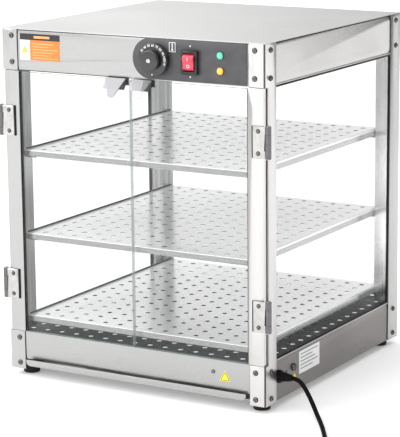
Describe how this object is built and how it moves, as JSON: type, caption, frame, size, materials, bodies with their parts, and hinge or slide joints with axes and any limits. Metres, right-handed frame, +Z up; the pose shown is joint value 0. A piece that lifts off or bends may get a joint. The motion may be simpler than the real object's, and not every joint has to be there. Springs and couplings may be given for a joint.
{
  "type": "heated display case",
  "caption": "Countertop heated display case with three perforated shelves, glass sides, two hinged glass doors, a pull-out tray and a coiled supply cord.",
  "frame": {"origin": "middle of the overall width and depth, knob included, on the surface it stands on", "axes": "+X to the viewer's right, doors face -Y, +Z up"},
  "size_m": [0.8033, 0.7494, 0.61],
  "materials": {
    "stainless_sheet": "satin",
    "clear_glass": "clear",
    "bright_hardware": "polished",
    "black_plastic": "matte",
    "dark_sheet": "satin",
    "frosted_plastic": "frosted",
    "grey_panel": "matte",
    "red_plastic": "gloss",
    "green_lens": "gloss",
    "orange_lens": "gloss",
    "white_ceramic": "matte",
    "black_cord": "satin",
    "black_rubber": "matte",
    "label_film": "matte"
  },
  "bodies": {
    "case": {"post_front_left": "stainless_sheet", "post_front_right": "stainless_sheet", "post_rear_left": "stainless_sheet", "post_rear_right": "stainless_sheet", "roof_panel": "stainless_sheet", "ceiling_panel": "stainless_sheet", "header_front": "stainless_sheet", "header_right": "stainless_sheet", "header_left": "stainless_sheet", "header_rear": "stainless_sheet", "base_front": "stainless_sheet", "base_right": "stainless_sheet", "base_left": "stainless_sheet", "base_rear": "stainless_sheet", "base_floor": "stainless_sheet", "shelf_upper": "stainless_sheet", "shelf_middle": "stainless_sheet", "shelf_lower": "stainless_sheet", "shelf_pins": "stainless_sheet", "element_hangers": "stainless_sheet", "heating_element": "stainless_sheet", "glass_left": "clear_glass", "glass_right": "clear_glass", "glass_rear": "clear_glass", "door_left_post_leaves": "bright_hardware", "door_right_post_leaves": "bright_hardware", "hinge_pins": "bright_hardware", "frame_screws": "bright_hardware", "door_catches": "black_plastic", "thermostat_body": "black_plastic", "switch_housing": "black_plastic", "cable_gland": "black_plastic", "base_fittings": "black_plastic", "deck_plate": "dark_sheet", "control_panel": "grey_panel", "indicator_green": "green_lens", "indicator_orange": "orange_lens", "terminal_block": "white_ceramic", "power_cord": "black_cord", "cord_coil": "black_cord", "plug": "black_cord", "feet": "black_rubber", "labels": "label_film"},
    "left_door": {"door_left_stile": "stainless_sheet", "door_left_glass": "clear_glass", "door_left_clip": "black_plastic", "door_left_tongue": "frosted_plastic", "door_left_hinge_leaves": "bright_hardware", "door_left_hinge_screws": "bright_hardware"},
    "right_door": {"door_right_stile": "stainless_sheet", "door_right_glass": "clear_glass", "door_right_clip": "black_plastic", "door_right_tongue": "frosted_plastic", "door_right_hinge_leaves": "bright_hardware", "door_right_hinge_screws": "bright_hardware"},
    "tray": {"water_tray": "stainless_sheet"},
    "knob": {"knob_skirt": "black_plastic", "knob_grip": "black_plastic"},
    "rocker": {"switch_rocker": "red_plastic"}
  },
  "joints": [
    {"name": "left_door_hinge", "type": "hinge", "parent": "case", "child": "left_door", "pos_m": [-0.2595, -0.24225, 0.3085], "axis": [0, 0, -1], "range_deg": [0, 120]},
    {"name": "right_door_hinge", "type": "hinge", "parent": "case", "child": "right_door", "pos_m": [0.2595, -0.24225, 0.3085], "axis": [0, 0, 1], "range_deg": [0, 120]},
    {"name": "tray_slide", "type": "slide", "parent": "case", "child": "tray", "axis": [0, -1, 0], "range_m": [0, 0.38]},
    {"name": "thermostat_turn", "type": "hinge", "parent": "case", "child": "knob", "pos_m": [0.051, -0.25325, 0.5735], "axis": [0, 1, 0], "range_deg": [0, 300]},
    {"name": "switch_rock", "type": "hinge", "parent": "case", "child": "rocker", "pos_m": [0.117, -0.24025, 0.5725], "axis": [1, 0, 0], "range_deg": [-14, 0]}
  ]
}
